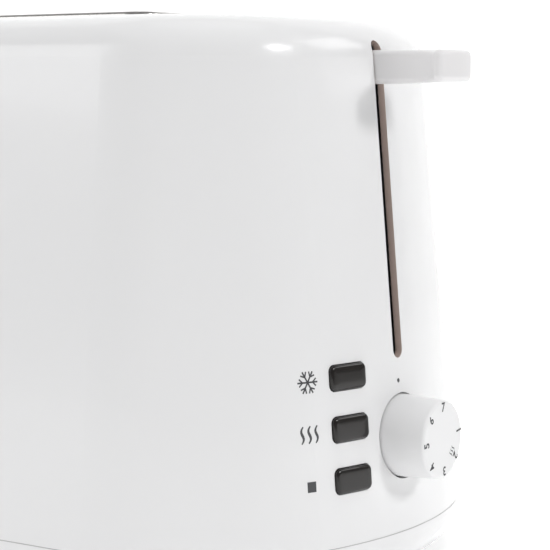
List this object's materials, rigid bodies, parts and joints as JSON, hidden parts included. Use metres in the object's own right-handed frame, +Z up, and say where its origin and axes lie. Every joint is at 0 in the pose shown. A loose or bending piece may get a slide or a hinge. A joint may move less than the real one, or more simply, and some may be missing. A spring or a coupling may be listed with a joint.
{
  "type": "pop up toaster",
  "caption": "Compact long white toaster with bread slots in the top, an end lever that lowers the bread, a browning knob, push buttons, a crumb tray and a fold-up warming rack.",
  "frame": {"origin": "on the plane that the rubber feet stand on, below the middle of the whole toaster with its lever", "axes": "+X towards the end with the lever and the knob, -Y to the front, +Z up"},
  "size_m": [0.3101, 0.181, 0.1919],
  "materials": {
    "white_shell": "glossy white moulded plastic",
    "white_lever": "satin white moulded plastic",
    "white_knob": "satin white moulded plastic",
    "black_button": "glossy black moulded plastic",
    "rubber": "matt dark rubber",
    "steel_sheet": "plain steel sheet",
    "bright_steel": "brushed stainless steel",
    "steel_wire": "bright steel wire",
    "reflector": "aluminised steel sheet",
    "mica": "pale brown mica board",
    "ribbon": "oxidised resistance ribbon",
    "zinc_screw": "zinc plated steel",
    "circuit_board": "brown circuit board",
    "dark_plastic": "matt black heat resistant plastic",
    "copper": "lacquered copper winding",
    "iron": "soft iron",
    "grey_plastic": "grey moulded plastic"
  },
  "bodies": {
    "housing": {"housing_shell": "white_shell", "base_pan": "white_shell", "rubber_feet": "rubber", "base_screws": "zinc_screw", "chassis_screws": "zinc_screw", "slot_frame": "bright_steel", "end_plate_left": "steel_sheet", "end_plate_right": "steel_sheet", "reflector_front": "reflector", "reflector_rear": "reflector", "heater_board_front": "mica", "heater_board_centre": "mica", "heater_board_rear": "mica", "heater_ribbon_front": "ribbon", "heater_ribbon_centre": "ribbon", "heater_ribbon_rear": "ribbon", "guide_rod": "steel_wire", "lift_spring": "steel_wire", "control_board": "circuit_board", "magnet_core": "iron", "magnet_coil": "copper", "mains_switch": "dark_plastic", "browning_pot": "grey_plastic", "button_guide": "dark_plastic", "button_board": "circuit_board", "tact_switches": "dark_plastic", "warming_rack_bearings": "dark_plastic", "cord_gland": "grey_plastic", "terminal_block": "dark_plastic"},
    "carriage": {"carriage_bracket": "steel_sheet", "bread_rack_front": "steel_sheet", "bread_rack_rear": "steel_sheet", "lever_stem": "steel_sheet", "latch_keeper": "iron", "lever_handle": "white_lever"},
    "guide_front_outer": {"bread_guide_front_outer": "steel_wire"},
    "guide_front_inner": {"bread_guide_front_inner": "steel_wire"},
    "guide_rear_inner": {"bread_guide_rear_inner": "steel_wire"},
    "guide_rear_outer": {"bread_guide_rear_outer": "steel_wire"},
    "knob": {"browning_knob": "white_knob", "pot_shaft": "steel_wire"},
    "defrost_button": {"button_defrost": "black_button"},
    "reheat_button": {"button_reheat": "black_button"},
    "stop_button": {"button_stop": "black_button"},
    "tray": {"crumb_tray": "steel_sheet", "crumb_tray_grip": "white_shell"},
    "rack_front": {"warming_rack_front": "bright_steel"},
    "rack_rear": {"warming_rack_rear": "bright_steel"}
  },
  "joints": [
    {"name": "carriage_slide", "type": "slide", "parent": "housing", "child": "carriage", "axis": [0, 0, -1], "range_m": [0, 0.088], "stiffness_N_per_m": 40, "springref_m": -0.1, "deforming": ["lift_spring"]},
    {"name": "guide_front_outer_lean", "type": "hinge", "parent": "housing", "child": "guide_front_outer", "pos_m": [-0.0088, -0.043, 0.034], "axis": [-1, 0, 0], "range_deg": [0, 5]},
    {"name": "guide_front_inner_lean", "type": "hinge", "parent": "housing", "child": "guide_front_inner", "pos_m": [-0.0088, -0.011, 0.034], "axis": [1, 0, 0], "range_deg": [0, 5]},
    {"name": "guide_rear_inner_lean", "type": "hinge", "parent": "housing", "child": "guide_rear_inner", "pos_m": [-0.0088, 0.011, 0.034], "axis": [-1, 0, 0], "range_deg": [0, 5]},
    {"name": "guide_rear_outer_lean", "type": "hinge", "parent": "housing", "child": "guide_rear_outer", "pos_m": [-0.0088, 0.043, 0.034], "axis": [1, 0, 0], "range_deg": [0, 5]},
    {"name": "knob_turn", "type": "hinge", "parent": "housing", "child": "knob", "pos_m": [0.1412, 0, 0.0493], "axis": [-1, 0, 0], "range_deg": [0, 279]},
    {"name": "defrost_press", "type": "slide", "parent": "housing", "child": "defrost_button", "axis": [-0.9738, 0.2106, -0.0854], "range_m": [0, 0.002], "stiffness_N_per_m": 400, "springref_m": -0.0015},
    {"name": "reheat_press", "type": "slide", "parent": "housing", "child": "reheat_button", "axis": [-0.9738, 0.2106, -0.0854], "range_m": [0, 0.002], "stiffness_N_per_m": 400, "springref_m": -0.0015},
    {"name": "stop_press", "type": "slide", "parent": "housing", "child": "stop_button", "axis": [-0.9738, 0.2106, -0.0854], "range_m": [0, 0.002], "stiffness_N_per_m": 400, "springref_m": -0.0015},
    {"name": "tray_slide", "type": "slide", "parent": "housing", "child": "tray", "axis": [0, 1, 0], "range_m": [0, 0.12]},
    {"name": "rack_front_fold", "type": "hinge", "parent": "housing", "child": "rack_front", "pos_m": [-0.0088, -0.015, 0.1907], "axis": [-1, 0, 0], "range_deg": [0, 70]},
    {"name": "rack_rear_fold", "type": "hinge", "parent": "housing", "child": "rack_rear", "pos_m": [-0.0088, 0.015, 0.1907], "axis": [1, 0, 0], "range_deg": [0, 70]}
  ],
  "couplings": [
    {"joint": "guide_front_outer_lean", "follows": "carriage_slide", "rad_per_m": 0.98},
    {"joint": "guide_front_inner_lean", "follows": "carriage_slide", "rad_per_m": 0.98},
    {"joint": "guide_rear_inner_lean", "follows": "carriage_slide", "rad_per_m": 0.98},
    {"joint": "guide_rear_outer_lean", "follows": "carriage_slide", "rad_per_m": 0.98}
  ]
}
